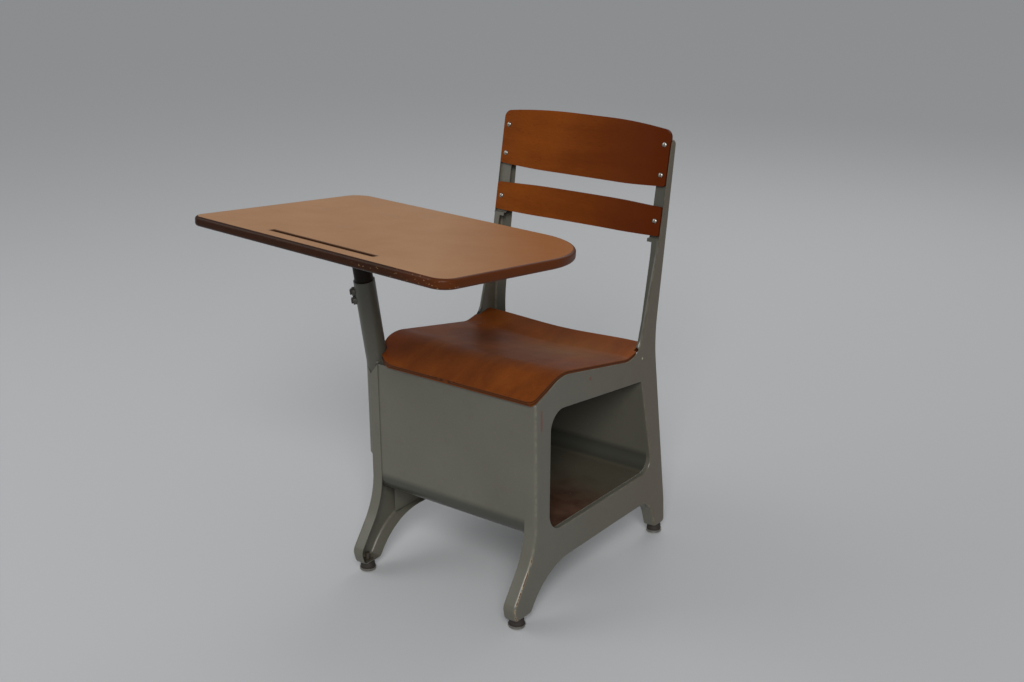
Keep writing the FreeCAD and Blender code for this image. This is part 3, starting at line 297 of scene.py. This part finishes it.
def plywood(name, grain, dark, light, edge_dark, edge_light):
    """Moulded birch ply under lacquer. Grain is its stretch along x, y and z."""
    material, tree, coat = new_material(name)
    place = place_on(tree)
    drawn = add(tree, "Mapping", {"Vector": place, "Scale": grain}).outputs[0]
    # Figure of the face veneer: faint bands about 30 mm apart, each some 250 mm long, with
    # fibres of 2 mm between them and a stain that took unevenly over 110 mm.
    figure = noise(tree, drawn, 0.03, 4.0, Distortion=0.4)
    fibre = noise(tree, drawn, 0.0018, 3.0)
    stain = noise(tree, place, 0.11, 3.0)
    veneer = calc(tree, "MULTIPLY_ADD", figure, 0.5, calc(tree, "MULTIPLY", fibre, 0.25))
    stained = calc(tree, "MULTIPLY_ADD", stain, 0.55, veneer)
    colour = mixed(tree, ramp(tree, stained, 0.4, 0.9), dark, light)
    # Short dark pores in the veneer, 1 mm wide and about 9 mm long.
    pores = ramp(tree, noise(tree, drawn, 0.0011, 1.0), 0.62, 0.75, high=0.45)
    colour = mixed(tree, pores, colour, edge_dark)
    # Five plies along the edge, between the underside and the top.
    ply = add(tree, "Attribute", attribute_name="ply_share").outputs["Fac"]
    on_edge = calc(tree, "COMPARE", ply, 0.5, 0.46)
    wave = calc(tree, "SINE", calc(tree, "MULTIPLY", ply, 5 * math.pi))
    plies = mixed(tree, ramp(tree, wave, -0.4, 0.4), edge_dark, edge_light)
    tree.links.new(mixed(tree, on_edge, colour, plies), coat.inputs["Base Color"])
    # Cloth has polished it in patches of about 50 mm.
    rubbing_and_sheen = noise(tree, place, 0.05, 5.0)
    tree.links.new(ramp(tree, rubbing_and_sheen, 0.0, 1.0, 0.3, 0.52), coat.inputs["Roughness"])
    relief = bump(tree, figure, 0.12, 0.0006)
    relief = bump(tree, fibre, 0.1, 0.0002, Normal=relief)
    tree.links.new(relief, coat.inputs["Normal"])
    coat.inputs["IOR"].default_value = 1.42
    coat.inputs["Specular IOR Level"].default_value = 0.12
    coat.inputs["Specular Tint"].default_value = linear("#E0A87C")
    return material, tree, coat


seat_ply, tree, coat = plywood("moulded_birch_seat_lacquer", (1.0, 0.12, 1.0),
                               "#5C2B0E", "#8A4816", "#3E1F0E", "#5E3317")
seat = pressed_copy("seat_panel", "seat_moulding", "chair", angle=30)
# Painted reflections lie on the lacquer, a dark one on one side of the middle and a light one on
# the other; the seat is darker along the back, and sun has reddened the corner at the post.
place = place_on(tree)
colour = coat.inputs["Base Color"].links[0].from_socket
for centre, reach, tone, share in (
        ((-0.075, 0.03, 0.4), (0.085, 0.1, 0.1), "#3A1A0C", 0.55),
        ((0.07, 0.055, 0.4), (0.12, 0.1, 0.1), "#86633F", 0.4),
        ((-0.17, -0.13, 0.4), (0.08, 0.1, 0.1), "#4A1B16", 0.6),
        ((-0.04, 0.17, 0.4), (0.3, 0.1, 0.1), "#3F1D0C", 0.5)):
    reflection_and_tone = patch(tree, place, centre, reach, 0.04, 0.5, fade=0.8)
    colour = mixed(tree, calc(tree, "MULTIPLY", reflection_and_tone, share), colour, tone)
tree.links.new(colour, coat.inputs["Base Color"])
# The rear corners fill the space beside the uprights, whose front flange is narrow there:
# the tail grows by 16 mm on each side, and the step ahead of it by 6 mm.
notch_y = 0.1238
core_side, tail_side, step_side = 0.15, 0.162, 0.18
tail_growth, step_growth = 0.016, 0.006
for vertex in seat.data.vertices:
    across = abs(vertex.co.x)
    if vertex.co.y > notch_y and core_side < across < step_side:
        growth = tail_growth if across < tail_side else step_growth
        vertex.co.x += math.copysign(growth, vertex.co.x)
ply_share(seat, Vector((0, 0, 1)))
eased(seat, 0.0022)
paint(seat, seat_ply)

# Back slats
# Two strips of the same moulded ply, bowed to the sitter's back and riveted to the uprights.

slat_ply, tree, coat = plywood("moulded_birch_slat_lacquer", (0.1, 1.0, 1.0),
                               "#5A2A0D", "#824416", "#331A0C", "#7A4219")
# Painted light: the slats run from a lit orange at one end to a shaded deep red-brown at the
# other.
age_and_painted_light = ramp(tree, axes(tree, place_on(tree))["X"], -0.16, 0.17, 0.05, 0.95)
colour = coat.inputs["Base Color"].links[0].from_socket
tree.links.new(mixed(tree, age_and_painted_light, colour, "#491B07"), coat.inputs["Base Color"])
for node in ("upper_back_slat", "lower_back_slat"):
    slat = pressed_copy(node, node + "_moulding", "chair", angle=30)
    ply_share(slat, Vector((0, -1, 0)))
    eased(slat, 0.0015)
    paint(slat, slat_ply)

# Rivets
# Domed steel rivets through slat and flange, nickelled and tarnished in spots.


def mottled(name, size, detail, dark, light, smooth, rough, metallic=0.0):
    """A material in clouds of one size, from dark and smooth to light and rough.

    Returns the material, its tree and its surface shader."""
    material, tree, coat = new_material(name)
    clouds = noise(tree, place_on(tree), size, detail)
    tree.links.new(mixed(tree, clouds, dark, light), coat.inputs["Base Color"])
    tree.links.new(ramp(tree, clouds, 0.0, 1.0, smooth, rough), coat.inputs["Roughness"])
    coat.inputs["Metallic"].default_value = metallic
    return material, tree, coat


rivet_steel, tree, coat = mottled("dull_nickelled_steel", 0.004, 4.0, "#6F6A62", "#B5B1A8",
                                  0.2, 0.5, metallic=1.0)
# How far a bar runs into the head on it.
overlap = 0.0002


def dome(radius, height):
    """The cap of a flattened ball, its flat side down at the origin."""
    bpy.ops.object.select_all(action="DESELECT")
    bpy.ops.mesh.primitive_uv_sphere_add(segments=32, ring_count=16, radius=radius)
    bpy.ops.object.mode_set(mode="EDIT")
    bpy.ops.mesh.select_all(action="SELECT")
    bpy.ops.mesh.bisect(plane_co=(0, 0, 0), plane_no=(0, 0, 1), use_fill=True, clear_inner=True)
    bpy.ops.mesh.select_all(action="SELECT")
    bpy.ops.transform.resize(value=(1, 1, height / radius), center_override=(0, 0, 0))
    bpy.ops.object.mode_set(mode="OBJECT")
    return bpy.context.object


def barrel(radius, low, high):
    """A round bar on the z axis between two heights."""
    bpy.ops.object.select_all(action="DESELECT")
    bpy.ops.mesh.primitive_cylinder_add(vertices=32, radius=radius, depth=high - low,
                                        location=(0, 0, (low + high) / 2))
    return bpy.context.object


def joined(pieces, name):
    """Pieces joined into one, with its origin at the world's."""
    bpy.ops.object.select_all(action="DESELECT")
    for piece in pieces:
        piece.select_set(True)
    bpy.context.view_layer.objects.active = pieces[0]
    bpy.ops.object.join()
    bpy.ops.object.transform_apply(location=True, rotation=True, scale=True)
    bpy.ops.object.shade_smooth_by_angle(angle=math.radians(35))
    piece = bpy.context.object
    piece.name = name
    return piece


def repeated(master, places, name):
    """A modelled piece at each of some places, joined into one."""
    copies = []
    for place in places:
        copy = bpy.data.objects.new(name, master.data.copy())
        bpy.context.scene.collection.objects.link(copy)
        copy.matrix_world = place
        copies.append(copy)
    bpy.data.objects.remove(master)
    return joined(copies, name)


# The back leans by its tilt from the middle of its top. Drops run down it from there.
back_tilt = math.radians(11.25)
back_top = Vector((0, 0.22097, 0.769))
to_front = Matrix.Rotation(math.radians(90) - back_tilt, 4, "X")
rivet_x = 0.1725
head_radius, head_height = 0.00475, 0.0024
shank_radius, tail_radius = 0.0025, 0.00375
grip, tail_end = -0.0088, -0.01024
for node, drops in (("upper_slat_rivets", (0.009, 0.063)), ("lower_slat_rivets", (0.145,))):
    rivet = joined([
        dome(head_radius, head_height),
        barrel(shank_radius, grip, overlap),
        barrel(tail_radius, tail_end, grip),
    ], "rivet")
    places = []
    for x in (-rivet_x, rivet_x):
        for drop in drops:
            down = Vector((x, -drop * math.sin(back_tilt), -drop * math.cos(back_tilt)))
            places.append(Matrix.Translation(back_top + down) @ to_front)
    rivets = repeated(rivet, places, node + "_headed")
    paint(rivets, rivet_steel)
    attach(rivets, "chair")
    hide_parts(node)

# Wood screws
# Round-headed steel screws, slotted for a blade, up through the seat ledges and the bracket.


def slotted_screw(head, shank, length):
    """A slotted wood screw with its point up and the flat of its head at the origin."""
    height = head * 0.5
    slot_width = head * 0.28
    cap = dome(head, height)
    bpy.ops.mesh.primitive_cube_add(size=1, scale=(head * 3, slot_width, height),
                                    location=(0, 0, height))
    cutter = bpy.context.object
    slot = cap.modifiers.new("slot", "BOOLEAN")
    slot.operation = "DIFFERENCE"
    slot.object = cutter
    bpy.context.view_layer.objects.active = cap
    bpy.ops.object.modifier_apply(modifier="slot")
    bpy.data.objects.remove(cutter)
    cap.rotation_euler = (math.radians(180), 0, 0)
    return joined([barrel(shank, -overlap, length), cap], "screw")


seat_slope = Matrix.Rotation(-0.1834, 4, "X")
seat_places = [Matrix.Translation((x, y, z)) @ seat_slope
               for x in (-0.1662, 0.1662)
               for y, z in ((-0.0667, 0.41415), (0.04446, 0.39354))]
# The tablet's own axes start on its underside, on the swivel's axis, sloped and turned.
tablet_place = (Matrix.Translation((-0.179, -0.211612, 0.666136))
                @ Matrix.Rotation(math.radians(-4.6), 4, "X")
                @ Matrix.Rotation(math.radians(-5.7), 4, "Z"))
plate_thickness = 0.003
bracket_places = [tablet_place @ Matrix.Translation((x, y, -plate_thickness))
                  for x in (-0.057, 0.057) for y in (-0.03036, 0.03036)]
# The radius of the head, the radius of the shank and its length, in that order.
for node, body, head, shank, length, places in (
        ("seat_screws", "chair", 0.0055, 0.0025, 0.008, seat_places),
        ("tablet_bracket_screws", "tablet", 0.0045, 0.00225, 0.012, bracket_places)):
    screws = repeated(slotted_screw(head, shank, length), places, node + "_slotted")
    paint(screws, rivet_steel)
    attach(screws, body)
    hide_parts(node)

# Post and clamp
# A bent steel tube enamelled with the frames; two square-headed set screws in welded
# bosses clamp the stem at the wanted height.

tube_enamel, tree, coat = new_material("sprayed_gloss_enamel_on_tube")
colour, _, _ = enamel_coat(tree, coat, rubbing_and_sheen=0.0)
# A painted shade darkens the tube's colour.
shaded = add(tree, "HueSaturation", {"Color": colour, "Value": 0.68})
tree.links.new(shaded.outputs[0], coat.inputs["Base Color"])
post = pressed_copy("post_tube", "post_tube_bent", "chair")
paint(post, tube_enamel)

dark_steel, tree, coat = mottled("oiled_black_steel_fastener", 0.004, 4.0, "#241E18", "#4A4238",
                                 0.35, 0.6)
clamp_axis = Vector((-0.80244, -0.58889, -0.096434))
clamp_turn = clamp_axis.to_track_quat("Z", "Y").to_matrix().to_4x4()
head_width, head_height = 0.0095, 0.0034
shank_radius, shank_end = 0.004, -0.0073
for body, seat_of_head in (("upper_clamp", (-0.198561, -0.203683, 0.527617)),
                           ("lower_clamp", (-0.198561, -0.200935, 0.510840))):
    bpy.ops.object.select_all(action="DESELECT")
    bpy.ops.mesh.primitive_cube_add(size=1, scale=(head_width, head_width, head_height),
                                    location=(0, 0, head_height / 2))
    head = bpy.context.object
    bevel = head.modifiers.new("forged", "BEVEL")
    bevel.width = 0.0008
    bevel.segments = 3
    bpy.ops.object.modifier_apply(modifier="forged")
    shank = barrel(shank_radius, shank_end, overlap)
    screw = joined([shank, head], "square_headed_screw")
    screw.matrix_world = Matrix.Translation(seat_of_head) @ clamp_turn
    screw = joined([screw], body + "_set_screw")
    paint(screw, dark_steel)
    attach(screw, body)
    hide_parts(body + "_screw")

# Stem and bracket
# The stem is blued steel tube, almost black; the bracket is a ribbed casting in black japan.

blued, tree, coat = mottled("blued_steel_and_black_japan", 0.02, 5.0, "#120D09", "#261D16",
                            0.3, 0.6)
# A grain of 1.5 mm, as the sand mould leaves it on the bracket.
sand = bump(tree, noise(tree, place_on(tree), 0.0015, 2.0), 0.2, 0.0003)
tree.links.new(sand, coat.inputs["Normal"])
coat.inputs["Specular IOR Level"].default_value = 0.1
for node, body, name in (("tablet_stem", "stem", "tablet_stem_tube"),
                         ("tablet_bracket", "tablet", "tablet_bracket_casting")):
    piece = pressed_copy(node, name, body)
    paint(piece, blued)

# Writing tablet
# A board with a tan laminate let into its top and a dark stained, rounded edge, which
# bags and other desks have knocked pale along the near corner.


def on_tablet(tree, place):
    """A place in the tablet's own axes."""
    return add(tree, "Mapping", {"Vector": place, "Location": tablet_place.translation,
                                 "Rotation": tablet_place.to_euler()},
               vector_type="TEXTURE").outputs[0]


laminate_skin, tree, coat = new_material("tan_pressed_laminate")
place = place_on(tree)
colour = mixed(tree, noise(tree, place, 0.09, 4.0), "#9C7352", "#AF8560")
# A painted reflection of the wooden slats has turned the free end a warmer tan.
spot = axes(tree, place)
slat_reflection = calc(tree, "MULTIPLY_ADD", spot["X"], 1.3, spot["Y"])
colour = mixed(tree, ramp(tree, slat_reflection, -0.2, 0.08), colour, "#925722")
# Specks of 1 mm in the pressed paper.
specks = ramp(tree, noise(tree, place, 0.0012, 1.0), 0.55, 0.7, high=0.2)
colour = mixed(tree, specks, colour, "#6E5238")
# The edges of the pencil groove, 238 mm long, are darker.
groove_x, groove_y = 0.192, -0.2305
along = axes(tree, on_tablet(tree, place))
from_middle = calc(tree, "ABSOLUTE", calc(tree, "SUBTRACT", along["X"], groove_x))
from_line = calc(tree, "ABSOLUTE", calc(tree, "SUBTRACT", along["Y"], groove_y))
groove_darkening = calc(tree, "MULTIPLY", ramp(tree, from_line, 0.0075, 0.0055),
              ramp(tree, from_middle, 0.122, 0.12, high=0.85))
colour = mixed(tree, groove_darkening, colour, "#3A2415")
tree.links.new(colour, coat.inputs["Base Color"])
# Hands have polished it in patches of 40 mm.
smudge = noise(tree, place, 0.04, 6.0)
tree.links.new(ramp(tree, smudge, 0.0, 1.0, 0.34, 0.55), coat.inputs["Roughness"])
coat.inputs["Specular IOR Level"].default_value = 0.08
laminate = pressed_copy("tablet_laminate", "tablet_laminate_sheet", "tablet", angle=10)
paint(laminate, laminate_skin)

# The board's layers show through the stain as streaks 3 mm high.
board_edge, tree, coat = new_material("stained_edge_of_the_board")
place = place_on(tree)
streak = add(tree, "Mapping", {"Vector": place, "Scale": (0.2, 0.2, 1.0)}).outputs[0]
colour = mixed(tree, noise(tree, streak, 0.003, 4.0), "#1C0E06", "#381D0C")
# The edge is redder and lighter towards the free end.
free_end = ramp(tree, axes(tree, place)["X"], 0.16, 0.3, high=0.75)
colour = mixed(tree, free_end, colour, "#5C2C0F")
# Chips of 4 mm show the pale core along the edge at the near corner.
chips = ramp(tree, noise(tree, place, 0.004, 2.0), 0.66, 0.69, high=0.8)
near = patch(tree, on_tablet(tree, place), (0.4, -0.262, 0.004), (0.12, 0.05, 0.012), 0.01, 0.6)
colour = mixed(tree, calc(tree, "MULTIPLY", chips, near), colour, "#A07C58")
tree.links.new(colour, coat.inputs["Base Color"])
coat.inputs["Roughness"].default_value = 0.38
coat.inputs["Specular IOR Level"].default_value = 0.1
board = pressed_copy("tablet_top", "tablet_board", "tablet")
paint(board, board_edge)

# Feet and glides
# Steel cups over rubber cushions, each on a stem that turns in a plate inside the leg.

rubber, tree, coat = mottled("aged_black_rubber", 0.006, 5.0, "#15110E", "#332B25", 0.75, 0.75)
for end in ("front", "rear"):
    for side in ("left", "right"):
        foot = end + "_" + side
        plate = pressed_copy(foot + "_foot_plate", foot + "_foot_stiffener", "chair")
        paint(plate, dark_steel)
        for part, finish, slot in (("cup", rivet_steel, "plated_steel"),
                                   ("cushion", rubber, "glide_rubber"),
                                   ("stem", dark_steel, "plated_steel")):
            node = foot + "_glide_" + part
            piece = pressed_copy(node, node + "_turned", foot + "_glide")
            paint(piece, finish)

# Studio
# A pale floor that fades into a pale surround, soft light from above the camera, and the
# camera where the photograph was taken from.

bpy.ops.object.select_all(action="DESELECT")
bpy.ops.mesh.primitive_plane_add(size=80, location=(0, 0, -0.0002))
floor = bpy.context.object
floor.name = "studio_floor"
matt, tree, coat = new_material("pale_matt_floor")
coat.inputs["Base Color"].default_value = linear("#B8B9BA")
coat.inputs["Roughness"].default_value = 0.9
paint(floor, matt)

world = bpy.data.worlds.new("studio")
bpy.context.scene.world = world
world.use_nodes = True
sky = world.node_tree.nodes["Background"]
sky.inputs["Color"].default_value = linear("#D9DCDF")
sky.inputs["Strength"].default_value = 0.4


def held_up(name, data, position, rotation):
    """A lamp or a camera at its place in the studio."""
    holder = bpy.data.objects.new(name, data)
    bpy.context.scene.collection.objects.link(holder)
    holder.location = position
    holder.rotation_euler = rotation
    return holder


# Square soft lamps that face the middle of the desk: position, width and power.
target = Vector((0, 0, 0.4))
for name, position, width, power in (("key_softbox", (1.7, -2.3, 2.3), 0.9, 28),
                                     ("fill_softbox", (-2.4, -1.6, 2.4), 2.0, 25),
                                     ("back_softbox", (-0.5, 2.6, 2.6), 2.0, 20)):
    lamp = bpy.data.lights.new(name, "AREA")
    lamp.shape = "SQUARE"
    lamp.size = width
    lamp.energy = power
    towards = target - Vector(position)
    held_up(name, lamp, position, towards.to_track_quat("-Z", "Y").to_euler())

# A wide, soft sun from the camera's side lights the floor evenly into the distance.
wide_light = bpy.data.lights.new("wide_soft_light", "SUN")
wide_light.energy = 1.5
wide_light.angle = math.radians(25)
held_up("wide_soft_light", wide_light, (0, 0, 0), (math.radians(60), 0, math.radians(37)))

# The camera's lens, place and turn were fitted to the photograph.
camera = bpy.data.cameras.new("camera")
camera.lens = 49.11
camera.sensor_width = 36
camera.clip_end = 100
turn = Euler((math.radians(70.757), 0, math.radians(37.183))).to_matrix()
roll = Matrix.Rotation(math.radians(-0.403), 3, "Z")
bpy.context.scene.camera = held_up("camera", camera, (1.4345, -1.8946, 1.2486),
                                   (turn @ roll).to_euler())
bpy.context.scene.view_settings.view_transform = "Standard"
